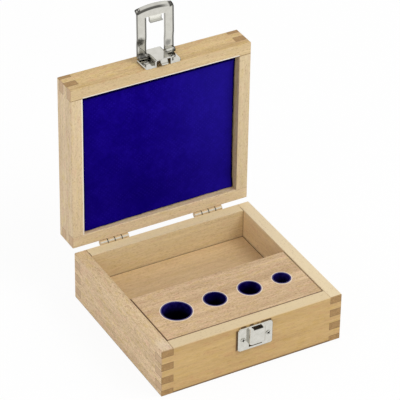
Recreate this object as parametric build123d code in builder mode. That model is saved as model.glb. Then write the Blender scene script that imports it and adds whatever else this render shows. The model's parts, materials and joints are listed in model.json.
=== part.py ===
from build123d import *
import os
from math import cos, radians, sin, tan

# Case: X to the right, Y to the back, Z up, origin under the middle of the base, millimetres
case_width = 130.0
case_depth = 120.0
base_height = 35.0
lid_height = 18.7
board = 8.4
finger = 5.1
edge_chamfer = 0.4
panel_thickness = 4.0
panel_rebate = 4.0
lid_opening = 90.0

# Weights that the pockets hold, with their heights over the knob
weight_50g_diameter = 18.0
weight_50g_height = 27.0
weight_20g_diameter = 13.0
weight_20g_height = 21.0
weight_10g_diameter = 10.0
weight_10g_height = 18.0
weights = [
    ("pocket_lining_50g", weight_50g_diameter, weight_50g_height),
    ("pocket_lining_20g_left", weight_20g_diameter, weight_20g_height),
    ("pocket_lining_20g_right", weight_20g_diameter, weight_20g_height),
    ("pocket_lining_10g", weight_10g_diameter, weight_10g_height),
]
weight_play = 0.4
weight_proud = 5.5
lining = 0.7
lining_glue = 0.05

# Inserts of the base
insert_gap = 0.25
block_depth = 50.3
block_drop = 0.5
insert_chamfer = 0.4
compartment_deep = 20.5

# Velvet pad of the lid, wrapped round a backing board
pad_recess = 4.4
pad_crown = 1.2
pad_gap = 0.3
pad_drawn_in = 0.8
backing_thickness = 2.0
backing_gap = 0.8

# Stop hinges on the back: two leaves with two knuckles each, on one pin
hinge_spread = 70.0
hinge_length = 20.6
hinge_knuckles = 4
hinge_setback = 1.9
hinge_pin_radius = 1.0
leaf_thickness = 0.8
leaf_height = 12.0
leaf_corner = 1.5
knuckle_gap = 0.1
pin_play = 0.05
stop_lug_reach = 1.8
stop_lug_thickness = 0.8
stop_lug_play = 0.05
lug_clearance = 0.2
hinge_screw_spread = 12.0
hinge_screw_drop = 7.6

# Screws: pan heads, with a cross recess on the clasp and plain on the hinges
screw_head_radius = 1.7
screw_head_height = 0.6
screw_shank_radius = 0.9
screw_length = 6.5
screw_play = 0.05
cross_length = 2.1
cross_width = 0.5
cross_deep = 0.45

# Clasp on the front: sheet metal, with heights measured out from the face of the boards
clasp_x = 1.0
sheet = 0.9
sheet_corner = 2.0
sheet_bend = 0.7
plate_rise = 1.6
plate_edge = 0.4
catch_width = 25.0
catch_height = 17.2
catch_drop = 1.3
catch_bridge_width = 11.3
catch_bridge_height = 5.0
catch_bridge_length = 11.7
catch_slot = 7.0
catch_window_above = 1.3
catch_window_below = 1.9
lid_plate_width = 26.4
lid_plate_clear = 0.2
lid_bridge_width = 12.0
lid_bridge_height = 5.5
lid_bridge_length = 14.4
bridge_bend = 1.3
clasp_screw_spread = 18.2
lid_screw_rise = 6.0
rim_tongue_width = 5.0
rim_tongue_reach = 2.6
rim_tongue_height = 2.6
rim_tongue_root = 1.8
rim_tongue_bend = 0.6

# Hasp: turns on a pin through the lid plate's bridge
hasp_opening = 92.0
hasp_pin_radius = 0.8
hasp_pin_overhang = 0.4
pivot_rise = 10.2
pivot_height = 3.7
hasp_width = 26.4
hasp_window = 13.0
hasp_reach = 32.7
window_reach = 27.4
hasp_offset = 0.6
step_start = 8.5
step_end = 13.5
tip_bow = 1.9
tip_corner = 2.5
lip_reach = 1.8
lip_rise = 2.6
lip_bend = 1.6
hook_width = 8.8
hook_clearance = 0.4
hook_end_height = 2.2
stop_lip_height = 4.9
stop_lip_play = 0.05

# Sizes that follow from the values above
rim = base_height
inner_width = case_width - 2 * board
inner_depth = case_depth - 2 * board
front = -case_depth / 2
back = case_depth / 2
panel_width = inner_width + 2 * panel_rebate
panel_depth = inner_depth + 2 * panel_rebate
lid_top = rim + lid_height
hinge_y = back + hinge_setback
barrel_radius = hinge_pin_radius + pin_play + leaf_thickness
knuckle_pitch = hinge_length / hinge_knuckles
hasp_knuckle_radius = hasp_pin_radius + pin_play + sheet
catch_top = rim - catch_drop
pivot_y = front - pivot_height
trim_depth = 2 * lid_bridge_height
touch = 0.001
pivot_z = rim + pivot_rise

UP = Vector(0, 0, 1)
DOWN = Vector(0, 0, -1)
FRONT = Vector(0, -1, 0)
BACK = Vector(0, 1, 0)
LEFT = Vector(-1, 0, 0)
RIGHT = Vector(1, 0, 0)


def turned(angle, y, z):
    """The turn by an angle about the line along X through y and z."""
    return Location((0, y, z)) * Location((0, 0, 0), (angle, 0, 0)) * Location((0, -y, -z))


# Every piece is drawn where it lies in the closed, latched case, and its pose takes it to rest
base_pose = Plane.XY
lid_pose = Plane(turned(-lid_opening, hinge_y, rim))
hasp_pose = Plane(lid_pose * turned(-hasp_opening, pivot_y, pivot_z))


def save(made, name):
    """Label a finished piece and write its STEP file."""
    made.part.label = name
    export_step(made.part, f"parts/{name}.step")


def outer_faces(point, low, high):
    """Which outer faces of one half of the case a point lies on."""
    gaps = {
        "side": abs(point.X) - case_width / 2,
        "end": abs(point.Y) - case_depth / 2,
        "low": point.Z - low,
        "high": point.Z - high,
    }
    return {face for face, gap in gaps.items() if abs(gap) < touch}


def outer_edges(made, pose, low, high):
    """The edges of a board that lie on two outer faces of its half of the case."""
    kept = []
    for edge in made.edges():
        start = outer_faces(pose.to_local_coords(edge @ 0), low, high)
        end = outer_faces(pose.to_local_coords(edge @ 1), low, high)
        if len(start & end) > 1:
            kept.append(edge)
    return kept


def finger_board(pose, outward, away, first_socket, panel_low, screws):
    """A board of the case, its face outward, standing away from the rim, with sockets at both ends."""
    across = abs(outward.X) > 0.5
    length = case_depth if across else case_width
    reach = case_width / 2 if across else case_depth / 2
    height = base_height if away.Z < 0 else lid_height
    low = min(rim, rim + away.Z * height)
    face = Plane(outward * reach + UP * rim, x_dir=away.cross(outward), z_dir=outward)
    with BuildPart() as made:
        with BuildSketch(pose * face):
            Rectangle(length, height, align=(Align.CENTER, Align.MIN))
            near = first_socket * finger
            while near < height:
                far = min(near + finger, height)
                with Locations((0, (near + far) / 2)):
                    with GridLocations(length - board, 0, 2, 1):
                        Rectangle(board, far - near, mode=Mode.SUBTRACT)
                near += 2 * finger
        extrude(amount=-board)
        with BuildSketch(pose * Plane.XY.offset(panel_low)):
            Rectangle(panel_width, panel_depth)
        extrude(amount=panel_thickness, mode=Mode.SUBTRACT)
        chamfer(outer_edges(made, pose, low, low + height), edge_chamfer)
        for spot in screws:
            with BuildSketch(pose * spot):
                Circle(screw_shank_radius + screw_play)
            extrude(amount=-screw_length - screw_play, mode=Mode.SUBTRACT)
    return made


def hinge_screw_spots(x_mid, side):
    """Where one leaf's screws sit, on its outer face: side is 1 on the lid and -1 on the base."""
    return [
        Plane((x_mid + dx, back + leaf_thickness, rim + side * hinge_screw_drop), x_dir=RIGHT, z_dir=BACK)
        for dx in (-hinge_screw_spread / 2, hinge_screw_spread / 2)
    ]


def clasp_screw_spots(z):
    """Where the two screws of a clasp plate sit, on its outer face at height z."""
    return [
        Plane((clasp_x + dx, front - plate_rise, z), x_dir=RIGHT, z_dir=FRONT)
        for dx in (-clasp_screw_spread / 2, clasp_screw_spread / 2)
    ]


hinge_centres = (-hinge_spread / 2, hinge_spread / 2)
base_hinge_screws = [spot for x_mid in hinge_centres for spot in hinge_screw_spots(x_mid, -1)]
lid_hinge_screws = [spot for x_mid in hinge_centres for spot in hinge_screw_spots(x_mid, 1)]
catch_screws = clasp_screw_spots(catch_top - catch_height / 2)
lid_plate_screws = clasp_screw_spots(rim + lid_screw_rise)

os.makedirs("parts", exist_ok=True)

# Boards: the box is jointed as one and sawn apart at the rim, so the fingers run on across the cut
base_boards = {
    "base_front_board": (FRONT, 0, catch_screws),
    "base_back_board": (BACK, 0, base_hinge_screws),
    "base_left_board": (LEFT, 1, []),
    "base_right_board": (RIGHT, 1, []),
}
for name, (outward, first_socket, screws) in base_boards.items():
    base_board = finger_board(base_pose, outward, DOWN, first_socket, 0, screws)
    save(base_board, name)

lid_boards = {
    "lid_front_board": (FRONT, 1, lid_plate_screws),
    "lid_back_board": (BACK, 1, lid_hinge_screws),
    "lid_left_board": (LEFT, 0, []),
    "lid_right_board": (RIGHT, 0, []),
}
for name, (outward, first_socket, screws) in lid_boards.items():
    lid_board = finger_board(lid_pose, outward, UP, first_socket, lid_top - panel_thickness, screws)
    save(lid_board, name)

# Panels: let into rebates, flush with the outside
with BuildPart() as base_bottom_panel:
    with BuildSketch(Plane.XY):
        Rectangle(panel_width, panel_depth)
    extrude(amount=panel_thickness)
save(base_bottom_panel, "base_bottom_panel")

with BuildPart() as lid_top_panel:
    with BuildSketch(lid_pose * Plane.XY.offset(lid_top - panel_thickness)):
        Rectangle(panel_width, panel_depth)
    extrude(amount=panel_thickness)
save(lid_top_panel, "lid_top_panel")

# Weight block: a row of blind pockets with equal webs between them
block_width = inner_width - 2 * insert_gap
block_front = front + board + insert_gap
block_back = block_front + block_depth
block_top = rim - block_drop
bore_radii = [diameter / 2 + weight_play + lining for name, diameter, height in weights]
bore_depths = [height - weight_proud + lining for name, diameter, height in weights]
web = (block_width - 2 * sum(bore_radii)) / (len(weights) + 1)
pocket_centres = []
edge = -block_width / 2
for radius in bore_radii:
    edge += web + radius
    pocket_centres.append(edge)
    edge += radius
pocket_y = (block_front + block_back) / 2

with BuildPart() as weight_block:
    with BuildSketch(Plane.XY.offset(panel_thickness)):
        with Locations((0, pocket_y)):
            Rectangle(block_width, block_depth)
    extrude(amount=block_top - panel_thickness)
    chamfer(weight_block.faces().sort_by(Axis.Z)[-1].edges(), insert_chamfer)
    for centre, radius, depth in zip(pocket_centres, bore_radii, bore_depths):
        with Locations((centre, pocket_y, block_top)):
            Hole(radius, depth=depth)
save(weight_block, "weight_block")

# Pocket linings: velvet cups glued into the bores
pocket_names = [name for name, diameter, height in weights]
for name, centre, radius, depth in zip(pocket_names, pocket_centres, bore_radii, bore_depths):
    with BuildPart() as pocket_lining:
        with BuildSketch(Plane.XY.offset(block_top - depth)):
            with Locations((centre, pocket_y)):
                Circle(radius - lining_glue)
        extrude(amount=depth)
        with BuildSketch(Plane.XY.offset(block_top - depth + lining)):
            with Locations((centre, pocket_y)):
                Circle(radius - lining)
        extrude(amount=depth, mode=Mode.SUBTRACT)
    save(pocket_lining, name)
    print(f"{name}: x {centre:.2f}, y {pocket_y:.2f}, radius {radius - lining:.2f}, depth {depth - lining:.2f}")

# Floor of the compartment behind the block: a board laid on the bottom panel
floor_depth = inner_depth - block_depth - 2 * insert_gap
with BuildPart() as compartment_floor:
    with BuildSketch(Plane.XY.offset(panel_thickness)):
        with Locations((0, block_back + floor_depth / 2)):
            Rectangle(block_width, floor_depth)
    extrude(amount=rim - compartment_deep - panel_thickness)
save(compartment_floor, "compartment_floor")

# Backing board and velvet pad of the lid: the pad's face is crowned and its sides are drawn in
backing_low = lid_top - panel_thickness - backing_thickness
with BuildPart() as lid_backing_board:
    with BuildSketch(lid_pose * Plane.XY.offset(backing_low)):
        Rectangle(inner_width - 2 * backing_gap, inner_depth - 2 * backing_gap)
    extrude(amount=backing_thickness)
save(lid_backing_board, "lid_backing_board")

pad_width = inner_width - 2 * pad_gap
pad_depth = inner_depth - 2 * pad_gap
pad_shoulder = rim + pad_recess + pad_crown


def crowned_section(plane, width):
    """The pad's section across a width: flat on its board, with straight sides and a crowned face."""
    with BuildSketch(plane) as section:
        with BuildLine():
            Polyline(
                (width / 2, pad_shoulder),
                (width / 2, backing_low),
                (-width / 2, backing_low),
                (-width / 2, pad_shoulder),
            )
            ThreePointArc((-width / 2, pad_shoulder), (0, pad_shoulder - pad_crown), (width / 2, pad_shoulder))
        make_face()
    return section.sketch


pad_back_edge = Plane((0, pad_depth / 2, 0), x_dir=RIGHT, z_dir=FRONT)
pad_left_edge = Plane((-pad_width / 2, 0, 0), x_dir=BACK, z_dir=RIGHT)
with BuildPart() as lid_velvet_pad:
    extrude(crowned_section(lid_pose * pad_back_edge, pad_width), amount=pad_depth)
    extrude(crowned_section(lid_pose * pad_left_edge, pad_depth), amount=pad_width, mode=Mode.INTERSECT)
    with BuildSketch(lid_pose * Plane.XY.offset(pad_shoulder - pad_crown)):
        with BuildLine():
            x_half = pad_width / 2
            y_half = pad_depth / 2
            ThreePointArc((-x_half, -y_half), (0, pad_drawn_in - y_half), (x_half, -y_half))
            ThreePointArc((x_half, -y_half), (x_half - pad_drawn_in, 0), (x_half, y_half))
            ThreePointArc((x_half, y_half), (0, y_half - pad_drawn_in), (-x_half, y_half))
            ThreePointArc((-x_half, y_half), (pad_drawn_in - x_half, 0), (-x_half, -y_half))
        make_face()
    extrude(amount=backing_low - pad_shoulder + pad_crown, mode=Mode.INTERSECT)
save(lid_velvet_pad, "lid_velvet_pad")


# Hinges
def hinge_leaf(pose, side, x_mid, own):
    """A leaf with every second knuckle from the one numbered own; side is 1 on the lid, -1 on the base."""
    notch = barrel_radius + lug_clearance
    left = x_mid - hinge_length / 2
    lug_angle = side * lid_opening / 2
    lug_own = 2 - own
    lug_other = 3 - lug_own
    strip = -hinge_setback + leaf_thickness / 2
    with BuildPart() as made:
        with BuildSketch(pose * Plane((x_mid, back, rim), x_dir=RIGHT, z_dir=BACK)) as plate:
            with Locations((0, -side * (leaf_height + notch) / 2)):
                Rectangle(hinge_length, leaf_height - notch)
            fillet(plate.vertices().sort_by(Axis.Y)[::side][:2], leaf_corner)
        extrude(amount=leaf_thickness)
        for number in range(hinge_knuckles):
            start = left + number * knuckle_pitch + knuckle_gap / 2
            section = pose * Plane((start, hinge_y, rim), x_dir=BACK, z_dir=RIGHT)
            if number % 2 == own % 2:
                with BuildSketch(section):
                    Circle(barrel_radius)
                    with Locations((strip, side * (notch + leaf_thickness) / 2)):
                        Rectangle(leaf_thickness, notch + leaf_thickness)
                    Circle(hinge_pin_radius + pin_play, mode=Mode.SUBTRACT)
                extrude(amount=knuckle_pitch - knuckle_gap)
        lug_steps = (
            (lug_own, 1, barrel_radius - lug_clearance),
            (min(lug_own, lug_other), 2, barrel_radius + lug_clearance),
        )
        for number, pitches, low in lug_steps:
            start = left + number * knuckle_pitch + knuckle_gap / 2
            high = barrel_radius + stop_lug_reach
            aside = side * (stop_lug_play + stop_lug_thickness) / 2
            along = (low + high) / 2
            lug_x = along * cos(radians(lug_angle)) - aside * sin(radians(lug_angle))
            lug_y = along * sin(radians(lug_angle)) + aside * cos(radians(lug_angle))
            with BuildSketch(pose * Plane((start, hinge_y, rim), x_dir=BACK, z_dir=RIGHT)):
                with Locations((lug_x, lug_y)):
                    Rectangle(high - low, stop_lug_thickness, rotation=lug_angle)
            extrude(amount=pitches * knuckle_pitch - knuckle_gap)
        with Locations(*[pose * spot for spot in hinge_screw_spots(x_mid, side)]):
            Hole(screw_shank_radius + screw_play, depth=leaf_thickness)
    return made


def screw_set(pose, spots, crossed):
    """Pan-head screws at some spots, one solid each, with a cross recess where they are crossed."""
    with BuildPart() as made:
        for spot in spots:
            seat = Plane(pose * spot)
            with BuildSketch(seat):
                Circle(screw_head_radius)
            extrude(amount=screw_head_height)
            with BuildSketch(seat):
                Circle(screw_shank_radius)
            extrude(amount=-screw_length)
            if crossed:
                with BuildSketch(seat.offset(screw_head_height - cross_deep)):
                    Rectangle(cross_length, cross_width)
                    Rectangle(cross_width, cross_length)
                extrude(amount=cross_deep, mode=Mode.SUBTRACT)
    return made


for hand, x_mid in zip(("left", "right"), hinge_centres):
    base_leaf = hinge_leaf(base_pose, -1, x_mid, 0)
    save(base_leaf, f"hinge_base_leaf_{hand}")
    lid_leaf = hinge_leaf(lid_pose, 1, x_mid, 1)
    save(lid_leaf, f"hinge_lid_leaf_{hand}")
    with BuildPart() as hinge_pin:
        with BuildSketch(Plane((x_mid - hinge_length / 2, hinge_y, rim), x_dir=BACK, z_dir=RIGHT)):
            Circle(hinge_pin_radius)
        extrude(amount=hinge_length)
    save(hinge_pin, f"hinge_pin_{hand}")

save(screw_set(base_pose, base_hinge_screws, False), "hinge_base_screws")
save(screw_set(lid_pose, lid_hinge_screws, False), "hinge_lid_screws")


# Clasp
def bridge_section(pose, top, width, height):
    """The section of a bridge pressed out of a plate, drawn at its upper end and facing down."""
    with BuildSketch(pose * Plane((clasp_x, front, top), x_dir=RIGHT, z_dir=DOWN)) as section:
        half = (width - sheet) / 2
        crest = height - sheet / 2
        with BuildLine():
            FilletPolyline((-half, 0), (-half, crest), (half, crest), (half, 0), radius=bridge_bend)
        trace(line_width=sheet)
    return section.sketch


def clasp_screw_holes(pose, spots):
    """Holes for the screws of a clasp plate, cut in the part being built."""
    with Locations(*[pose * spot for spot in spots]):
        Hole(screw_shank_radius + screw_play, depth=plate_rise)


def pressed_plate(pose, low, high, width):
    """A plate pressed into a shallow tray, its rim on the wood and its outer edge softened."""
    tray = Plane(pose * Plane((clasp_x, front, (low + high) / 2), x_dir=RIGHT, z_dir=FRONT))
    with BuildPart() as made:
        with BuildSketch(tray):
            RectangleRounded(width, high - low, sheet_corner)
        extrude(amount=plate_rise)
        chamfer(made.faces().sort_by(Axis(tray.origin, tray.z_dir))[-1].edges(), plate_edge)
        with BuildSketch(tray):
            Rectangle(width - 2 * sheet, high - low - 2 * sheet)
        extrude(amount=plate_rise - sheet, mode=Mode.SUBTRACT)
    return made.part


# Catch plate: a pressed plate with a bridge over a window, its top slotted for the rim tongue
catch_low = catch_top - catch_height
catch_cheek = (catch_bridge_width - sheet - catch_slot) / 2
with BuildPart() as catch_plate:
    add(pressed_plate(base_pose, catch_low, catch_top, catch_width))
    with BuildSketch(Plane((clasp_x, front, catch_low + catch_window_below), x_dir=RIGHT, z_dir=FRONT)):
        Rectangle(
            catch_bridge_width - 2 * sheet,
            catch_height - catch_window_above - catch_window_below,
            align=(Align.CENTER, Align.MIN),
        )
    extrude(amount=plate_rise, mode=Mode.SUBTRACT)
    extrude(
        bridge_section(base_pose, catch_top, catch_bridge_width, catch_bridge_height),
        amount=catch_bridge_length,
    )
    with BuildSketch(Plane((clasp_x, front, catch_top), x_dir=RIGHT, z_dir=DOWN)):
        with GridLocations(catch_slot + catch_cheek, 0, 2, 1):
            Rectangle(catch_cheek, catch_bridge_height - sheet, align=(Align.CENTER, Align.MIN))
    extrude(amount=sheet)
    clasp_screw_holes(base_pose, catch_screws)
save(catch_plate, "catch_plate")
save(screw_set(base_pose, catch_screws, True), "catch_screws")

# Lid plate: wings with upturned stop lips, a bridge that holds the hasp's pin, and the rim tongue
lean_slope = tan(radians(hasp_opening - 90))
stop_lip_z = pivot_z + hasp_knuckle_radius + (stop_lip_height - pivot_height) * lean_slope + stop_lip_play
plate_low = rim + lid_plate_clear
plate_high = stop_lip_z + sheet
lip_width = (lid_plate_width - lid_bridge_width) / 2 - sheet_corner
tongue_x = clasp_x + rim_tongue_width / 2
with BuildPart() as lid_plate:
    add(pressed_plate(lid_pose, plate_low, plate_high, lid_plate_width))
    with BuildSketch(lid_pose * Plane((clasp_x, front, plate_low), x_dir=RIGHT, z_dir=FRONT)):
        Rectangle(
            lid_bridge_width - 2 * sheet,
            2 * (plate_high - plate_low) - 2 * sheet,
        )
    extrude(amount=plate_rise, mode=Mode.SUBTRACT)
    with BuildSketch(lid_pose * Plane((clasp_x, front, stop_lip_z), x_dir=RIGHT, z_dir=UP)):
        with GridLocations(lid_plate_width - sheet_corner - lip_width, 0, 2, 1):
            Rectangle(lip_width, stop_lip_height, align=(Align.CENTER, Align.MAX))
    extrude(amount=sheet)
    extrude(
        bridge_section(lid_pose, rim + lid_bridge_length, lid_bridge_width, lid_bridge_height),
        amount=lid_bridge_length,
    )
    with BuildSketch(lid_pose * Plane((tongue_x, front, rim), x_dir=FRONT, z_dir=LEFT)):
        with BuildLine():
            FilletPolyline(
                (lid_bridge_height - sheet / 2, rim_tongue_root),
                (lid_bridge_height - sheet / 2, sheet / 2),
                (rim_tongue_height, -sheet),
                (rim_tongue_height, -rim_tongue_reach / 2),
                radius=rim_tongue_bend,
            )
        trace(line_width=sheet)
    extrude(amount=rim_tongue_width)
    with BuildSketch(
        lid_pose * Plane((clasp_x, front - rim_tongue_height + sheet / 2, rim), x_dir=RIGHT, z_dir=FRONT)
    ):
        with Locations((0, -rim_tongue_reach / 2)):
            RectangleRounded(rim_tongue_width, rim_tongue_reach, sheet)
    extrude(amount=sheet)
    with BuildSketch(
        lid_pose * Plane((clasp_x - lid_plate_width / 2, pivot_y, pivot_z), x_dir=BACK, z_dir=RIGHT)
    ):
        Circle(hasp_pin_radius + pin_play)
    extrude(amount=lid_plate_width, mode=Mode.SUBTRACT)
    clasp_screw_holes(lid_pose, lid_plate_screws)
save(lid_plate, "lid_plate")
save(screw_set(lid_pose, lid_plate_screws, True), "lid_plate_screws")

pin_length = hasp_width + 2 * hasp_pin_overhang
with BuildPart() as hasp_pin:
    pin_left = Plane((clasp_x - pin_length / 2, pivot_y, pivot_z), x_dir=BACK, z_dir=RIGHT)
    with BuildSketch(lid_pose * pin_left):
        Circle(hasp_pin_radius)
    extrude(amount=pin_length)
save(hasp_pin, "hasp_pin")

# Hasp: two arms rolled round the pin, a window over both bridges, a bowed lip and a hook that goes
# under the catch's bridge. Its section is drawn out from the pivot, along the sheet's middle.
knuckle_line = hasp_knuckle_radius - sheet / 2
sheet_line = knuckle_line - hasp_offset
hook_line = pivot_z - (catch_top - catch_bridge_length) + hook_clearance + sheet / 2
tip_radius = ((hasp_width / 2) ** 2 + tip_bow**2) / (2 * tip_bow)
tip_end = hasp_reach + lip_reach
hasp_right = Plane((clasp_x + hasp_width / 2, pivot_y, pivot_z), x_dir=FRONT, z_dir=LEFT)
hasp_middle = Plane((clasp_x, pivot_y, pivot_z), x_dir=FRONT, z_dir=LEFT)
hook_right = Plane((clasp_x + hook_width / 2, pivot_y, pivot_z), x_dir=FRONT, z_dir=LEFT)
hasp_plan = Plane((clasp_x, front, pivot_z), x_dir=RIGHT, z_dir=FRONT)
bow_centre = Plane(hasp_pose * Plane((clasp_x, front, pivot_z - hasp_reach + tip_radius), z_dir=FRONT))
with BuildPart() as hasp:
    with BuildSketch(hasp_pose * hasp_right):
        with BuildLine():
            FilletPolyline(
                (knuckle_line, 0),
                (knuckle_line, -step_start),
                (sheet_line, -step_end),
                (sheet_line, -hasp_reach),
                radius=step_end - step_start,
            )
        trace(line_width=sheet)
        Circle(hasp_knuckle_radius)
        Circle(hasp_pin_radius + pin_play, mode=Mode.SUBTRACT)
    extrude(amount=hasp_width)
    with BuildSketch(bow_centre):
        Circle(tip_radius)
    extrude(amount=trim_depth, mode=Mode.INTERSECT)
    with BuildSketch(hasp_pose * hasp_middle):
        with BuildLine():
            FilletPolyline(
                (sheet_line, lip_bend - hasp_reach),
                (sheet_line, -hasp_reach),
                (sheet_line + lip_rise, -tip_end),
                radius=lip_bend,
            )
        trace(line_width=sheet)
    revolve(axis=Axis(bow_centre.origin, bow_centre.z_dir))
    with BuildSketch(hasp_pose * hasp_plan) as hasp_outline:
        with BuildLine():
            x_half = hasp_width / 2
            top = 2 * hasp_knuckle_radius
            side_end = tip_bow - tip_end - sheet
            Polyline((-x_half, side_end), (-x_half, top), (x_half, top), (x_half, side_end))
            ThreePointArc((x_half, side_end), (0, -tip_end - sheet), (-x_half, side_end))
        make_face()
        fillet(hasp_outline.vertices().sort_by(Axis.Y)[:2], tip_corner)
    extrude(amount=trim_depth, mode=Mode.INTERSECT)
    with BuildSketch(hasp_pose * hasp_plan):
        with Locations((0, -window_reach)):
            Rectangle(hasp_window, window_reach + 2 * hasp_knuckle_radius, align=(Align.CENTER, Align.MIN))
    extrude(amount=trim_depth, mode=Mode.SUBTRACT)
    with BuildSketch(hasp_pose * hook_right):
        with BuildLine():
            FilletPolyline(
                (sheet_line, -window_reach - sheet),
                (sheet_line, -hook_line),
                (hook_end_height - pivot_height, -hook_line),
                radius=sheet_bend,
            )
        trace(line_width=sheet)
    extrude(amount=hook_width)
save(hasp, "hasp")
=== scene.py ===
"""The looks of an open calibration weight case: varnished beech, nickelled fittings and blue velvet."""
import json
import math

import bmesh
import bpy
import numpy as np
from mathutils import Matrix, Vector


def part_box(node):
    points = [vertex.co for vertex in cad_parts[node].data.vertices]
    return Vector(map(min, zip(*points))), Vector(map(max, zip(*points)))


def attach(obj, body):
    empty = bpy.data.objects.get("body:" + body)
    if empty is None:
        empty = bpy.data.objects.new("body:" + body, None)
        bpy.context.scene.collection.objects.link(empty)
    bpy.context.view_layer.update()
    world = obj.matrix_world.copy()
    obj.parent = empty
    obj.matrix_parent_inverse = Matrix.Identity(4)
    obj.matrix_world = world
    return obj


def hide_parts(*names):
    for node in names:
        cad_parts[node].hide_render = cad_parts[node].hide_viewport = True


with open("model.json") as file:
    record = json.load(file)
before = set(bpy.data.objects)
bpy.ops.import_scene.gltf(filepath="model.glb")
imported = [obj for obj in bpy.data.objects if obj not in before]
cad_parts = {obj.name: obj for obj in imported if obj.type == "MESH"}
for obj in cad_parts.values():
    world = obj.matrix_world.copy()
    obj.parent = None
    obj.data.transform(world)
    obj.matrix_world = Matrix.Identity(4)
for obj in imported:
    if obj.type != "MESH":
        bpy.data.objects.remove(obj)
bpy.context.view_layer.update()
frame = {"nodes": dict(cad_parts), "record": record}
nodes = frame["nodes"]
MM = 0.001
X_AXIS, Y_AXIS, Z_AXIS = 0, 1, 2

# Camera at the photograph's viewing angle
CAMERA_AZIMUTH, CAMERA_ELEVATION, CAMERA_ROLL = -29.42, 33.85, 0.94
CAMERA_DISTANCE = 1.5865
CAMERA_TARGET = Vector((-0.0059, 0.0, 0.0935))
CLIP_NEAR, CLIP_FAR = 0.05, 20.0
FOCAL_PIXELS, IMAGE_PIXELS = 2525.9, 400
SENSOR_WIDTH = 36.0

# The case
RIM = 35.0 * MM
HINGE_Y = 61.9 * MM
LID_MIDDLE = 96.9 * MM
CASE_WIDTH, CASE_DEPTH = 130.0 * MM, 120.0 * MM
HALF_WIDTH, HALF_DEPTH = CASE_WIDTH / 2, CASE_DEPTH / 2
BOARD = 8.4 * MM
FINGER = 5.1 * MM

# The fittings
CATCH_WINDOW, CATCH_SLOT = 9.5 * MM, 7.0 * MM
CATCH_PROUD = 1.2 * MM
HINGE_SPREAD = 70.0 * MM
KNUCKLE_PITCH = 20.6 / 4 * MM
BARREL_RADIUS = 1.85 * MM
HASP_WIDTH, HASP_WINDOW = 26.4 * MM, 13.0 * MM
HASP_REACH, WINDOW_REACH = 32.7 * MM, 27.4 * MM
HOOK_WIDTH, HOOK_REACH, HOOK_DROP = 8.8 * MM, 24.0 * MM, 8.0 * MM
TIP_RADIUS = 46.8 * MM

# The studio, in metres and watts
SKY_LIGHT = 0.74
FLOOR_HALF = 6.0
FLOOR_GREY = (0.93, 0.93, 0.93, 1)
FLOOR_WHITE_SHARE = 0.92
FLAG_BLACK = (0.012, 0.012, 0.012, 1)
LOW_FLAG = ((0.75, 0.003), (2.6, 0.003), (2.6, 0.45))
FLAG_STEPS = 64
LIT_POINT = Vector((0, 0, 0.07))
LAMPS = {"key_light": ((0.85, -0.90, 1.45), 1.0, 13.0), "left_light": ((-1.25, -0.25, 0.65), 0.8, 2.0)}


def linear(red, green, blue):
    """A display colour, 0 to 255, as the linear colour that a shader takes."""
    share = np.array((red, green, blue)) / 255
    curve = np.where(share <= 0.04045, share / 12.92, ((share + 0.055) / 1.055) ** 2.4)
    return (*curve.tolist(), 1.0)


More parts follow.
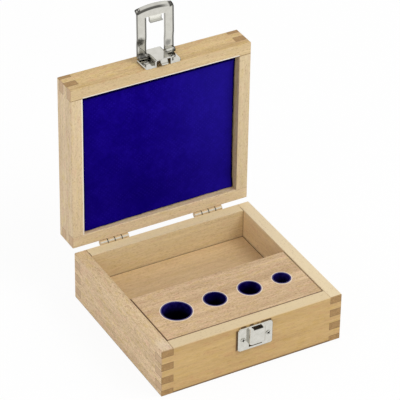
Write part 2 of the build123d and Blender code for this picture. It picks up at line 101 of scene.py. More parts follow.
# Shader nodes
class Finish:
    """A material under construction: its tree, its surface shader and short ways to add nodes."""

    def __init__(self, name):
        self.material = bpy.data.materials.new(name)
        self.material.use_nodes = True
        self.tree = self.material.node_tree
        self.surface = self.tree.nodes["Principled BSDF"]
        self.output = self.tree.nodes["Material Output"]

    def add(self, kind, inputs=(), **settings):
        """Add a node, with its settings and its inputs by name or number."""
        made = self.tree.nodes.new(kind)
        for key, value in settings.items():
            setattr(made, key, value)
        for key, value in dict(inputs).items():
            self.feed(made.inputs[key], value)
        return made

    def feed(self, socket, value):
        """Link a socket into an input, or set the input's constant."""
        if isinstance(value, bpy.types.NodeSocket):
            self.tree.links.new(value, socket)
        else:
            socket.default_value = value

    def dress(self, inputs):
        """Give the surface shader its inputs by name."""
        for key, value in inputs.items():
            self.feed(self.surface.inputs[key], value)

    def maths(self, operation, first, second=0.0, third=0.0, clamp=False):
        """One arithmetic step."""
        inputs = {0: first, 1: second, 2: third}
        return self.add("ShaderNodeMath", inputs, operation=operation, use_clamp=clamp).outputs[0]

    def times(self, first, *others):
        """Values multiplied together."""
        for other in others:
            first = self.maths("MULTIPLY", first, other)
        return first

    def largest(self, first, *others):
        """The largest of some values."""
        for other in others:
            first = self.maths("MAXIMUM", first, other)
        return first

    def weighted(self, *parts):
        """A sum of values, each times its weight."""
        total = self.times(*parts[-1])
        for value, weight in reversed(parts[:-1]):
            total = self.maths("MULTIPLY_ADD", value, weight, total)
        return total

    def squares(self, first, second):
        """The sum of the squares of two values."""
        return self.maths("MULTIPLY_ADD", first, first, self.times(second, second))

    def place(self, scale, shift=(0, 0, 0)):
        """Object coordinates in millimetres, scaled along each axis and then shifted."""
        mapping = self.add("ShaderNodeMapping", {"Location": shift, "Scale": tuple(s / MM for s in scale)})
        self.feed(mapping.inputs["Vector"], self.add("ShaderNodeTexCoord").outputs["Object"])
        return mapping.outputs["Vector"]

    def axis(self, output, axis):
        """One axis of the object coordinates or of the object's normal."""
        split = self.add("ShaderNodeSeparateXYZ", {0: self.add("ShaderNodeTexCoord").outputs[output]})
        return split.outputs[axis]

    def off(self, axis, middle):
        """How far the surface lies from a middle, along one axis."""
        return self.maths("ABSOLUTE", self.maths("SUBTRACT", self.axis("Object", axis), middle))

    def faces(self, axis, low=0.4, high=0.6):
        """1 where the object's normal lies along an axis, either way."""
        return self.step(self.maths("ABSOLUTE", self.axis("Normal", axis)), low, high)

    def facing(self, direction):
        """How far the object's normal turns towards a direction: their dot product."""
        inputs = {0: self.add("ShaderNodeTexCoord").outputs["Normal"], 1: direction}
        return self.add("ShaderNodeVectorMath", inputs, operation="DOT_PRODUCT").outputs["Value"]

    def noise(self, vector, detail=3.0, roughness=0.5, distortion=0.0):
        """Soft noise, 0 to 1."""
        inputs = {"Vector": vector, "Scale": 1.0, "Detail": detail, "Roughness": roughness}
        inputs["Distortion"] = distortion
        return self.add("ShaderNodeTexNoise", inputs).outputs["Fac"]

    def ramp(self, value, stops):
        """A value turned into a colour by stops of (place, colour)."""
        made = self.add("ShaderNodeValToRGB", {"Fac": value})
        for _ in stops[2:]:
            made.color_ramp.elements.new(0.5)
        for element, (place, colour) in zip(made.color_ramp.elements, stops):
            element.position = place
            element.color = colour
        return made.outputs["Color"]

    def step(self, value, low, high):
        """0 below low, 1 above high, smooth between. With low above high, 1 below high and 0 above low."""
        inputs = {"Value": value, "From Min": low, "From Max": high}
        return self.add("ShaderNodeMapRange", inputs, interpolation_type="SMOOTHSTEP").outputs["Result"]

    def near(self, value, centre, reach):
        """1 where a value is within reach of a centre, soft at the edge."""
        distance = self.maths("ABSOLUTE", self.maths("SUBTRACT", value, centre))
        return self.step(distance, reach, reach * 0.4)

    def mix(self, share, first, second, blend="MIX"):
        """Two colours mixed by a share."""
        made = self.add("ShaderNodeMix", data_type="RGBA", blend_type=blend)
        self.feed(made.inputs[0], share)
        self.feed(made.inputs[6], first)
        self.feed(made.inputs[7], second)
        return made.outputs[2]

    def relief(self, height, strength, distance, rounding=None):
        """A normal that follows a height, over edges that look rounded by a radius."""
        made = self.add("ShaderNodeBump", {"Height": height, "Strength": strength, "Distance": distance})
        if rounding:
            rounded = self.add("ShaderNodeBevel", {"Radius": rounding}, samples=4)
            self.feed(made.inputs["Normal"], rounded.outputs["Normal"])
        return made.outputs["Normal"]


WHITE = (1.0, 1.0, 1.0, 1.0)


def cover(name, material):
    """Give a CAD piece one material."""
    nodes[name].data.materials.clear()
    nodes[name].data.materials.append(material)


# Beech. The figure's scales are how often each kind of mark comes, per mm along and across the grain.
BANDS, STREAKS, FIBRES = (0.005, 0.10), (0.03, 0.55), (0.16, 1.9)
GRITS, CLOUDS = (0.55, 1.5), (0.11, 0.40)
PORES, RINGS = (0.2, 3.6), (0.02, 0.45)
FIGURE_MIDDLE, FIGURE_SPREAD = 0.69, 0.19
GRIT, GRIT_LEVELS = linear(208, 196, 180), (0.50, 0.66)
CLOUD_YELLOW, YELLOW_LEVELS = linear(250, 246, 214), (0.48, 0.68)
CLOUD_PINK, PINK_LEVELS = linear(252, 236, 236), (0.50, 0.32)
FLECK, FLECK_STRENGTH, FLECK_EDGE = linear(134, 90, 50), 0.55, (0.34, 0.10)
FLECK_SIZES = ((0.45, 1.9, 0.46), (0.28, 1.15, 0.52))
# Glue lines and painted shade take this colour
GLUE_AND_SHADE, GLUE_AND_SHADE_STRENGTH = linear(84, 54, 30), 0.85
GLUE_LEVELS, GLUE_START = (0.034, 0.012), (1.0 * MM, 1.2 * MM)
SHOULDER_REACH, CORNER_REACH = 0.22 * MM, 0.35 * MM
# Painted highlights on the arrises take this colour
ARRIS_HIGHLIGHT, ARRIS_HIGHLIGHT_STRENGTH = linear(250, 244, 236), 0.85
HOLE_ARRIS_OUT, HOLE_ARRIS_REACH, HOLE_ARRIS_SHARE = 1.15 * MM, 0.46 * MM, 0.62
PALE_RIM, RIM_LEVELS = linear(231, 213, 176), (0.6, 0.8)
END_LEVELS = (0.55, 0.75)
WOOD_ROUNDING = 0.25 * MM
WOOD_RELIEF = 0.06 * MM


def stretched(along, length_wise, across):
    """A scale for each axis: one for the axis that the grain runs along, one for the two across it."""
    return tuple(length_wise if axis == along else across for axis in (X_AXIS, Y_AXIS, Z_AXIS))


def beech(name, grain, tones, end_tones, rim, seed, seams, arrises):
    """Varnished beech: bands of growth, fine fibres, yellow and pink clouds, short ray flecks and darker,
    porous end grain. Its sawn rim is paler, and painted highlights lie on the arrises that catch the light;
    its dark lines are glue lines and painted shade."""
    wood = Finish(name)
    along, contrast, cloudiness, grittiness = grain
    light, dark = tones
    shift = (seed * 3.7, seed * 5.3, seed * 7.9)

    def figure(scales, moved=shift, **settings):
        return wood.noise(wood.place(stretched(along, *scales), moved), **settings)

    bands = figure(BANDS, distortion=0.5)
    streaks = figure(STREAKS, detail=4.0, roughness=0.6)
    fibres = figure(FIBRES, detail=5.0, roughness=0.75)
    tone = wood.weighted((fibres, 0.60), (bands, 0.40), (streaks, 0.40))
    half = FIGURE_SPREAD / contrast
    colour = wood.ramp(tone, [(FIGURE_MIDDLE - half, dark), (FIGURE_MIDDLE + half, light)])
    grit = figure(GRITS, shift[1:] + shift[:1], roughness=0.8)
    colour = wood.mix(wood.times(wood.step(grit, *GRIT_LEVELS), grittiness), colour, GRIT, "MULTIPLY")
    clouds = figure(CLOUDS, shift[::-1], roughness=0.65)
    for levels, cloud in ((YELLOW_LEVELS, CLOUD_YELLOW), (PINK_LEVELS, CLOUD_PINK)):
        colour = wood.mix(wood.times(wood.step(clouds, *levels), cloudiness), colour, cloud, "MULTIPLY")
    flecks = 0.0
    for long_wise, across, chance in FLECK_SIZES:
        vector = wood.place(stretched(along, long_wise, across), shift)
        cells = wood.add("ShaderNodeTexVoronoi", {"Vector": vector, "Scale": 1.0}, feature="F1")
        close = wood.step(cells.outputs["Distance"], *FLECK_EDGE)
        chosen = wood.step(figure((long_wise / 3, across / 3), detail=2.0), chance - 0.04, chance + 0.06)
        flecks = wood.largest(flecks, wood.times(close, chosen))
    if rim:
        rim_axis, paleness = rim
        colour = wood.mix(wood.times(wood.faces(rim_axis, *RIM_LEVELS), paleness), colour, PALE_RIM)
    colour = wood.mix(wood.times(flecks, FLECK_STRENGTH * (0.4 + 0.6 * grittiness)), colour, FLECK)

    # End grain: where the surface faces along the grain
    end = wood.faces(along, *END_LEVELS)
    pores = figure(PORES, detail=4.0, roughness=0.7)
    rings = figure(RINGS, detail=2.0, distortion=1.5)
    end_tone = wood.weighted((pores, 0.6), (rings, 0.4))
    colour = wood.mix(end, colour, wood.ramp(end_tone, [(0.3, end_tones[1]), (0.7, end_tones[0])]))

    # Glue lines; painted shade where an insert meets the boards, in corners, along the foot and round the
    # catch; and painted highlights on the arrises and the front left corner
    for seam in seams:
        colour = wood.mix(wood.times(seam(wood, end), GLUE_AND_SHADE_STRENGTH), colour, GLUE_AND_SHADE)
    for arris_highlight in arrises:
        colour = wood.mix(wood.times(arris_highlight(wood, end), ARRIS_HIGHLIGHT_STRENGTH), colour, ARRIS_HIGHLIGHT)

    height = wood.maths("MULTIPLY_ADD", flecks, -0.6, fibres)
    height = wood.maths("MULTIPLY_ADD", wood.times(pores, end), 0.8, height)
    wood.dress({
        "Base Color": colour,
        "Roughness": wood.maths("MULTIPLY_ADD", fibres, 0.16, 0.38),
        "Specular IOR Level": 0.30,
        "Normal": wood.relief(height, 0.30, WOOD_RELIEF, WOOD_ROUNDING),
    })
    return wood.material


# Marks on the wood: each maker returns a function of the material and its end grain
def finger_lines(away_axis, rim_at, across_axis, middle, half_across):
    """The glue lines between the fingers of one row of corners, a finger's width apart from the rim on."""

    def lines(wood, end):
        away = wood.off(away_axis, rim_at)
        turn = wood.maths("FRACT", wood.maths("DIVIDE", away, FINGER))
        beside = wood.maths("MINIMUM", turn, wood.maths("SUBTRACT", 1.0, turn))
        inner = half_across - BOARD
        corner = wood.step(wood.off(across_axis, middle), inner, inner + 0.05 * MM)
        return wood.times(wood.step(beside, *GLUE_LEVELS), wood.step(away, *GLUE_START), corner)

    return lines


def shoulder_line(across_axis, middle, half_across):
    """The glue line at the inner end of the fingers, seen on their end grain."""

    def line(wood, end):
        inner = half_across - BOARD
        return wood.times(wood.near(wood.off(across_axis, middle), inner, SHOULDER_REACH), end)

    return line


def border_line(axis, place, reach, facing):
    """A line on the faces towards one axis, beside a plane across another."""

    def line(wood, end):
        return wood.times(wood.near(wood.axis("Object", axis), place, reach), wood.faces(facing))

    return line


def arris_highlight_line(axis, place, reach, facing, across_axis, middle, half):
    """A painted highlight along an inner edge of the rim, between the boards that end it."""
    beside = border_line(axis, place, reach, facing)

    def line(wood, end):
        between = wood.step(wood.off(across_axis, middle), half, half - 0.2 * MM)
        return wood.times(beside(wood, end), between)

    return line


def hole_arris_highlight(mount):
    """A painted highlight round a pocket's mouth: the distance from its axis is its radius and a little
    more.
    """
    radius = mount["dims"]["r_mm"] * MM + HOLE_ARRIS_OUT

    def line(wood, end):
        first = wood.maths("SUBTRACT", wood.axis("Object", X_AXIS), mount["pos_m"][0])
        second = wood.maths("SUBTRACT", wood.axis("Object", Y_AXIS), mount["pos_m"][1])
        mouth = wood.near(wood.maths("SQRT", wood.squares(first, second)), radius, HOLE_ARRIS_REACH)
        return wood.times(mouth, HOLE_ARRIS_SHARE, wood.step(wood.axis("Normal", Z_AXIS), 0.4, 0.6))

    return line


def patch_of(low, high, facing, soft=0.3 * MM, strength=1.0, broken=False):
    """A patch of a board: a box's extent, soft at its edges, on the faces towards one axis.
    It can be broken up by noise."""

    def patch(wood, end):
        inside = wood.faces(facing)
        for axis in (X_AXIS, Y_AXIS, Z_AXIS):
            if axis != facing:
                middle, half = (low[axis] + high[axis]) / 2, (high[axis] - low[axis]) / 2
                inside = wood.times(inside, wood.step(wood.off(axis, middle), half, half - soft))
        if broken:
            pieces = wood.noise(wood.place((0.30, 0.30, 0.30)), detail=1.0)
            inside = wood.times(inside, wood.step(pieces, 0.44, 0.52))
        return wood.times(inside, strength)

    return patch


def corner_shade_line(across_axis, half_across, depth_axis, half_depth):
    """Painted shade in an inside corner: a dark line on the inner face of a board."""

    def line(wood, end):
        board_middle = half_depth - BOARD / 2
        inner = wood.step(wood.off(depth_axis, 0.0), board_middle, board_middle - 0.1 * MM)
        corner = wood.near(wood.off(across_axis, 0.0), half_across - BOARD, CORNER_REACH)
        return wood.times(corner, inner)

    return line


base_x = (finger_lines(Z_AXIS, RIM, X_AXIS, 0.0, HALF_WIDTH), shoulder_line(Y_AXIS, 0.0, HALF_DEPTH))
base_y = (finger_lines(Z_AXIS, RIM, Y_AXIS, 0.0, HALF_DEPTH), shoulder_line(X_AXIS, 0.0, HALF_WIDTH))
lid_x = (
    finger_lines(Y_AXIS, HINGE_Y, X_AXIS, 0.0, HALF_WIDTH),
    shoulder_line(Z_AXIS, LID_MIDDLE, HALF_DEPTH),
)
lid_z = (
    finger_lines(Y_AXIS, HINGE_Y, Z_AXIS, LID_MIDDLE, HALF_DEPTH),
    shoulder_line(X_AXIS, 0.0, HALF_WIDTH),
)
back_corner_shade = corner_shade_line(X_AXIS, HALF_WIDTH, Y_AXIS, HALF_DEPTH)
# Painted shade along the foot of the front and left boards
foot_shade_line = border_line(Z_AXIS, 0.0, 2.0 * MM, Y_AXIS)
left_foot_shade_line = border_line(Z_AXIS, 0.0, 0.9 * MM, X_AXIS)

block_low, block_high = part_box("weight_block")
# Painted shade in the gap where the block meets the boards
block_gap_shade = (
    border_line(X_AXIS, block_low.x + 0.35 * MM, 0.65 * MM, Z_AXIS),
    border_line(X_AXIS, block_high.x, 0.7 * MM, Z_AXIS),
    border_line(Y_AXIS, block_low.y + 0.7 * MM, 0.62 * MM, Z_AXIS),
)
floor_low, floor_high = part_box("compartment_floor")
# Painted shade in the corners where the compartment's floor meets the walls
floor_corner_shade = tuple(
    border_line(axis, place, 0.7 * MM, Z_AXIS)
    for axis, place in ((X_AXIS, floor_low.x), (X_AXIS, floor_high.x), (Y_AXIS, floor_high.y))
)
pockets = [m for m in frame["record"]["mounts"] if m["name"].startswith("pocket_")]
pocket_highlights = tuple(hole_arris_highlight(mount) for mount in pockets)

# Painted shade round the catch, and painted light on the lid's inner edges and on the front left corner
catch_low, catch_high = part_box("catch_plate")
catch_middle_x = (catch_low.x + catch_high.x) / 2
shade_behind_catch = patch_of(
    (catch_middle_x - CATCH_WINDOW / 2, 0.0, catch_low.z + 1.0 * MM),
    (catch_middle_x + CATCH_WINDOW / 2, 0.0, catch_high.z - 0.3 * MM),
    Y_AXIS,
)
catch_shadow = patch_of(
    (catch_low.x - 1.3 * MM, 0.0, catch_low.z - 0.2 * MM),
    (catch_low.x + 0.5 * MM, 0.0, catch_high.z - 0.8 * MM),
    Y_AXIS,
    soft=0.9 * MM,
)
catch_gap_shade = patch_of(
    (catch_low.x + 0.6 * MM, 0.0, catch_high.z - 0.6 * MM),
    (catch_high.x - 0.4 * MM, 0.0, catch_high.z + 0.9 * MM),
    Y_AXIS,
    broken=True,
)
lid_inside_x, lid_inside_z = HALF_WIDTH - BOARD, HALF_DEPTH - BOARD
lid_top_highlight = arris_highlight_line(Z_AXIS, LID_MIDDLE + lid_inside_z, 1.3 * MM, Y_AXIS, X_AXIS, 0.0, lid_inside_x)
lid_left_highlight = arris_highlight_line(X_AXIS, -lid_inside_x, 1.0 * MM, Y_AXIS, Z_AXIS, LID_MIDDLE, lid_inside_z)
front_corner_light = patch_of(
    (-HALF_WIDTH - 5 * MM, -HALF_DEPTH - 5 * MM, 0.0),
    (-HALF_WIDTH + 2 * BOARD, -HALF_DEPTH + 2 * BOARD, 0.0),
    Z_AXIS,
    soft=1.2 * BOARD,
    strength=0.20,
)

# Boards: one material each, so that no two show the same figure
golden = (linear(214, 181, 125), linear(176, 143, 92))
lid_golden = (linear(220, 192, 141), linear(186, 156, 107))
pinkish = (linear(230, 201, 162), linear(192, 162, 124))
left_tones = (linear(231, 204, 165), linear(195, 167, 127))
pale = (linear(231, 209, 173), linear(201, 175, 139))
right_pale = (linear(217, 196, 157), linear(187, 164, 126))
plain_wood = (linear(226, 198, 154), linear(192, 162, 120))
back_tones = (linear(238, 217, 174), linear(206, 183, 140))
right_tones = (linear(244, 220, 176), linear(214, 186, 144))
dark_ends = (linear(186, 149, 98), linear(132, 100, 58))
light_ends = (linear(212, 180, 142), linear(174, 142, 106))
base_rim, left_rim, right_rim, front_rim = (Z_AXIS, 0.6), (Z_AXIS, 0.15), (Z_AXIS, 0.8), (Z_AXIS, 0.70)
lid_rim = (Y_AXIS, 0.35)
front_lines = (*base_x, shade_behind_catch, catch_shadow, catch_gap_shade, foot_shade_line)
back_lines, left_lines = (*base_x, back_corner_shade), (*base_y, left_foot_shade_line)
# The grain's axis, contrast, cloudiness and grittiness; the tones; the end grain's; the rim; glue lines and
# painted shade; painted highlights
even, lively = (0.9, 0.35, 0.3), (1.3, 0.8, 0.7)
wooden = {
    "base_front_board": ((X_AXIS, 0.75, 0.6, 0.15), golden, light_ends, front_rim, front_lines, ()),
    "base_back_board": ((X_AXIS, *even), back_tones, light_ends, base_rim, back_lines, ()),
    "base_left_board": (
        (Y_AXIS, 1.2, 0.8, 1.0), left_tones, dark_ends, left_rim, left_lines, (front_corner_light,),
    ),
    "base_right_board": ((Y_AXIS, *even), right_tones, dark_ends, right_rim, base_y, ()),
    "base_bottom_panel": ((X_AXIS, *even), plain_wood, dark_ends, None, (), ()),
    "weight_block": ((X_AXIS, 1.3, 0.7, 0.9), pinkish, light_ends, None, block_gap_shade, pocket_highlights),
    "compartment_floor": ((X_AXIS, *even), plain_wood, light_ends, None, floor_corner_shade, ()),
    "lid_front_board": ((X_AXIS, *lively), lid_golden, light_ends, lid_rim, lid_x, (lid_top_highlight,)),
    "lid_back_board": ((X_AXIS, *lively), pale, light_ends, lid_rim, lid_x, ()),
    "lid_left_board": ((Z_AXIS, *lively), pale, dark_ends, lid_rim, lid_z, (lid_left_highlight,)),
    "lid_right_board": ((Z_AXIS, *lively), right_pale, dark_ends, lid_rim, lid_z, ()),
    "lid_top_panel": ((X_AXIS, *even), plain_wood, dark_ends, None, (), ()),
    "lid_backing_board": ((X_AXIS, *even), plain_wood, dark_ends, None, (), ()),
}
for seed, (name, (grain, tones, end_tones, rim, seams, arrises)) in enumerate(wooden.items(), start=1):
    cover(name, beech(f"{name}_beech", grain, tones, end_tones, rim, seed, seams, arrises))

# Nickel. The painted dark reflections on the hasp: place from its middle, reach, strength, whether on the
# arms alone.
HASP_LINES = (
    (HASP_WIDTH / 2 - 0.3 * MM, 1.1 * MM, 0.80, False),
    (0.2 * MM - HASP_WIDTH / 2, 0.65 * MM, 0.65, False),
    (-HASP_WINDOW / 2 - 0.4 * MM, 0.95 * MM, 0.75, True),
    (HASP_WINDOW / 2 + 0.2 * MM, 0.7 * MM, 0.40, True),
)
# The painted dark reflections where its arms bend: place from its middle, height above the pin, both halves,
# strength
HASP_BLOBS = (
    (-11.2 * MM, 10.6 * MM, 3.4 * MM, 3.3 * MM, 0.88),
    (9.0 * MM, 5.4 * MM, 2.6 * MM, 2.4 * MM, 0.55),
    (-10.4 * MM, 0.9 * MM, 3.6 * MM, 1.6 * MM, 0.85),
    (12.2 * MM, -0.4 * MM, 1.9 * MM, 1.9 * MM, 0.85),
)
FRONT_LEFT = (-0.408, -0.724, 0.557)
METAL_TONES = [(0.3, linear(203, 201, 192)), (0.7, linear(216, 214, 206))]
# Painted shade and painted dark reflections in the metal take this colour
PAINTED_SHADE_AND_REFLECTION = linear(34, 32, 28)
METAL_ROUNDING = 0.18 * MM
METAL_RELIEF = 0.10 * MM
WHOLE_TURNS = 8
hasp_low, hasp_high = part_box("hasp")
hasp_middle_x = (hasp_low.x + hasp_high.x) / 2
pin_low, pin_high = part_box("hasp_pin")
pin_z = (pin_low.z + pin_high.z) / 2


def hinge_split_shade(metal):
    """Painted shade at the gaps between a hinge's knuckles, on its barrel: 1 every pitch either side of its
    middle.
    The whole turns keep the value above 0."""
    along = metal.maths("SUBTRACT", metal.off(X_AXIS, 0.0), HINGE_SPREAD / 2)
    turn = metal.maths("ADD", metal.maths("DIVIDE", along, KNUCKLE_PITCH), 0.5 + WHOLE_TURNS)
    beside = metal.maths("ABSOLUTE", metal.maths("SUBTRACT", metal.maths("FRACT", turn), 0.5))
    barrel = metal.step(metal.off(Y_AXIS, HINGE_Y), BARREL_RADIUS * 1.15, BARREL_RADIUS * 1.05)
    between = metal.step(metal.maths("ABSOLUTE", along), KNUCKLE_PITCH * 1.6, KNUCKLE_PITCH * 1.4)
    return metal.times(metal.step(beside, 0.085, 0.04), barrel, between)


def cross_recess_shade(metal):
    """Painted shade in a screw's cross: 1 there, from the mark stored on its points."""
    return metal.add("ShaderNodeAttribute", attribute_name="recess").outputs["Fac"]


def hasp_reflections(metal):
    """Painted dark reflections of the room in the hasp's rounded edges. With x from its middle, h above its
    pin and r
    from the centre of its bowed tip: bands at the right of each arm, thin lines at the left, a streak where
    the lip turns up, the lip's two corners, and patches where the arms bend."""
    x = metal.maths("SUBTRACT", metal.axis("Object", X_AXIS), hasp_middle_x)
    off_middle = metal.maths("ABSOLUTE", x)
    height = metal.maths("SUBTRACT", metal.axis("Object", Z_AXIS), pin_z)
    up = metal.maths("ADD", height, TIP_RADIUS - HASP_REACH)
    past_bend = metal.maths("SUBTRACT", metal.maths("SQRT", metal.squares(x, up)), TIP_RADIUS)
    arms = metal.step(height, WINDOW_REACH, WINDOW_REACH - 0.6 * MM)
    patches = metal.noise(metal.place((0.7, 0.7, 0.7)), detail=2.0)

    def blob(x_at, height_at, half_x, half_height, strength):
        """An ellipse, soft at its edge: ((x - x_at) / half_x)^2 + ((h - height_at) / half_height)^2,
        1 on its outline."""
        first = metal.maths("DIVIDE", metal.maths("SUBTRACT", x, x_at), half_x)
        second = metal.maths("DIVIDE", metal.maths("SUBTRACT", height, height_at), half_height)
        far = metal.squares(first, second)
        far = metal.maths("MULTIPLY_ADD", metal.maths("SUBTRACT", patches, 0.5), 1.6, far)
        return metal.times(metal.step(far, 1.5, 0.0), strength)

    marks = [blob(*values) for values in HASP_BLOBS]
    for place, reach, strength, on_arms in HASP_LINES:
        line = metal.times(metal.near(x, place, reach), strength)
        marks.append(metal.times(line, arms) if on_arms else line)

    # The lip's painted dark reflections: its bend's streak, a fainter line past it, both corners and its
    # slope beside a bright spot
    bend = metal.near(past_bend, 0.15 * MM, 1.0 * MM)
    marks.append(metal.times(bend, metal.step(x, HASP_WIDTH * 0.46, HASP_WIDTH * 0.1), 0.85))
    marks.append(metal.times(metal.near(past_bend, 2.45 * MM, 0.7 * MM), 0.5))
    far_out = metal.step(off_middle, HASP_WIDTH / 2 - 3.9 * MM, HASP_WIDTH / 2 - 2.4 * MM)
    tip = metal.step(past_bend, -1.0 * MM, -0.3 * MM)
    marks.append(metal.times(far_out, tip, metal.step(patches, 0.34, 0.48), 0.90))
    slope = metal.step(past_bend, 0.3 * MM, 0.9 * MM)
    shine = metal.near(x, HASP_WIDTH * 0.27, 3.0 * MM)
    marks.append(metal.times(metal.maths("SUBTRACT", slope, shine, clamp=True), 0.12))

    # Painted dark reflection on the hook's outline, inside the window
    on_hook = metal.step(off_middle, HOOK_WIDTH / 2 + 0.3 * MM, HOOK_WIDTH / 2 + 0.1 * MM)
    hook_sides = metal.near(off_middle, HOOK_WIDTH / 2, 0.8 * MM)
    hook_foot = metal.near(height, HOOK_REACH, 0.8 * MM)
    in_window = metal.step(height, WINDOW_REACH, WINDOW_REACH - 1.2 * MM)
    marks.append(metal.times(on_hook, metal.largest(hook_sides, hook_foot), 0.6, in_window))
    return metal.largest(*marks)


def slot_shade(metal):
    """1 just below the slot in the top of the catch's bridge, where its inside shows."""
    half = CATCH_SLOT / 2
    inside = metal.step(metal.off(X_AXIS, catch_middle_x), half + 0.1 * MM, half - 0.3 * MM)
    below = metal.near(metal.axis("Object", Z_AXIS), catch_high.z, 1.15 * MM)
    proud_end = catch_low.y + CATCH_PROUD
    proud = metal.step(metal.axis("Object", Y_AXIS), proud_end + 0.2 * MM, proud_end)
    return metal.times(inside, below, proud)


def hook_plate(metal):
    """1 on the hook, which lies inside the window's upper end."""
    below = metal.maths("SUBTRACT", pin_z + WINDOW_REACH, metal.axis("Object", Z_AXIS))
    half = HASP_WINDOW / 2
    inside = metal.step(metal.off(X_AXIS, hasp_middle_x), half - 0.1 * MM, half - 0.4 * MM)
    low_end = metal.step(below, HOOK_DROP + 1.0 * MM, HOOK_DROP)
    return metal.times(inside, metal.step(below, -0.6 * MM, 0.4 * MM), low_end, 0.85)


def boards_reflected_in_barrels(metal):
    """A painted reflection of the boards in the hinges' barrels: on their front side, either side of one
    bright line.
    """
    front_side = metal.facing(FRONT_LEFT)
    return metal.times(metal.step(front_side, 0.94, 0.84), metal.step(front_side, 0.0, 0.25), 0.95)


def nickel(name, roughness, seed, marks=None, mark_roughness=0.4, edge=None, matt=None):
    """Nickel plate: bright, with faint rolling lines, a little unevenness and rounded edges.
    The marks are painted shade and painted dark reflections, the edge tone is a painted dark reflection on
    what turns away from the front left, and the matt parts are painted reflections and highlights that lose
    a share of the metal."""
    metal = Finish(name)
    shift = (seed * 2.1, seed * 4.3, seed * 1.7)
    haze = metal.noise(metal.place((0.35, 0.35, 0.35), shift), detail=4.0)
    lines = metal.noise(metal.place((0.25, 6.0, 6.0), shift), roughness=0.7)
    tint = metal.ramp(haze, METAL_TONES)
    rough = metal.maths("MULTIPLY_ADD", haze, 0.10, roughness)
    metallic = 1.0
    if edge:
        tone, low, high, strength = edge
        turned_away = metal.step(metal.maths("ABSOLUTE", metal.facing(FRONT_LEFT)), low, high)
        tint = metal.mix(metal.times(turned_away, strength), tint, tone)
    if matt:
        where, tone, share = matt
        flat = where(metal)
        tint = metal.mix(flat, tint, tone)
        metallic = metal.maths("MULTIPLY_ADD", flat, -share, 1.0)
    if marks:
        painted_dark = marks(metal)
        tint = metal.mix(painted_dark, tint, PAINTED_SHADE_AND_REFLECTION)
        rough = metal.maths("MULTIPLY_ADD", painted_dark, mark_roughness, rough)
    height = metal.maths("MULTIPLY_ADD", lines, 0.3, haze)
    normal = metal.relief(height, 0.05, METAL_RELIEF, METAL_ROUNDING)
    metal.dress({"Base Color": tint, "Metallic": metallic, "Roughness": rough, "Normal": normal})
    return metal.material


# Painted reflection of the boards in the hinges' barrels
painted_barrel_reflection = (boards_reflected_in_barrels, linear(212, 184, 140), 1.0)
# Painted pale highlight on the hook
painted_hook_highlight = (hook_plate, linear(240, 239, 229), 0.9)
# Painted dark reflection of the room on what turns away from the front left
painted_room_reflection = (linear(84, 80, 72), 0.50, 0.34, 0.62)
plate_nickel = nickel("plate_nickel", 0.08, 1, edge=painted_room_reflection)
catch_nickel = nickel("catch_nickel", 0.08, 5, slot_shade, edge=painted_room_reflection)
hasp_nickel = nickel("hasp_nickel", 0.08, 4, hasp_reflections, 0.05, matt=painted_hook_highlight)
hinge_nickel = nickel("hinge_nickel", 0.14, 2, hinge_split_shade, matt=painted_barrel_reflection)
screw_nickel = nickel("screw_nickel", 0.16, 3, cross_recess_shade)
cover("catch_plate", catch_nickel)
cover("lid_plate", plate_nickel)
cover("hasp_pin", plate_nickel)
cover("hasp", hasp_nickel)
for name in nodes:
    if name.startswith("hinge_") and not name.endswith("screws"):
        cover(name, hinge_nickel)


def velvet(name, grain, tones, shade):
    """Blue velvet: a bright nap, pile that leans both ways and a fine weave, near black only where its shade
    function paints shade.
    """
    cloth = Finish(name)
    lean = cloth.noise(cloth.place((0.05, 0.05, 0.05), (6.1, 3.3, 2.9)), distortion=0.8)
    nap = cloth.noise(cloth.place((0.30, 0.30, 0.30)), detail=5.0, roughness=0.65)
    pile = cloth.noise(cloth.place((grain, grain, grain)), roughness=0.7)
    tone = cloth.weighted((pile, 0.30), (lean, 0.35), (nap, 0.35))
    colour = shade(cloth, cloth.ramp(tone, list(zip((0.36, 0.5, 0.66), tones))))
    cloth.dress({
        "Base Color": colour,
        "Roughness": 0.9,
        "Specular IOR Level": 0.0,
        "Sheen Weight": 0.22,
        "Sheen Roughness": 0.4,
        "Sheen Tint": linear(40, 34, 190),
        "Normal": cloth.relief(cloth.maths("MULTIPLY_ADD", nap, 0.6, pile), 0.5, 0.18 * MM),
    })
    return cloth.material


# Meshes from grids of points
MERGE = 0.001 * MM


def grid_faces(rows, columns, first=0, wrap=False):
    """The four corners of each cell of a grid of rows by columns, the last column meeting the first if it
    wraps."""
    across = columns if wrap else columns - 1
    row, column = np.meshgrid(np.arange(rows - 1), np.arange(across), indexing="ij")
    here, below = row * columns, (row + 1) * columns
    right = (column + 1) % columns
    corners = (here + column, here + right, below + right, below + column)
    return first + np.stack(corners, axis=-1).reshape(-1, 4)


def border_strip(rows, columns):
    """The faces that bridge the borders of two grids of the same size, one after the other."""
    index = np.arange(rows * columns).reshape(rows, columns)
    border = np.concatenate((index[0, :], index[1:, -1], index[-1, -2::-1], index[-2:0:-1, 0]))
    after = np.roll(border, -1)
    return np.stack((border, after, after + rows * columns, border + rows * columns), -1)


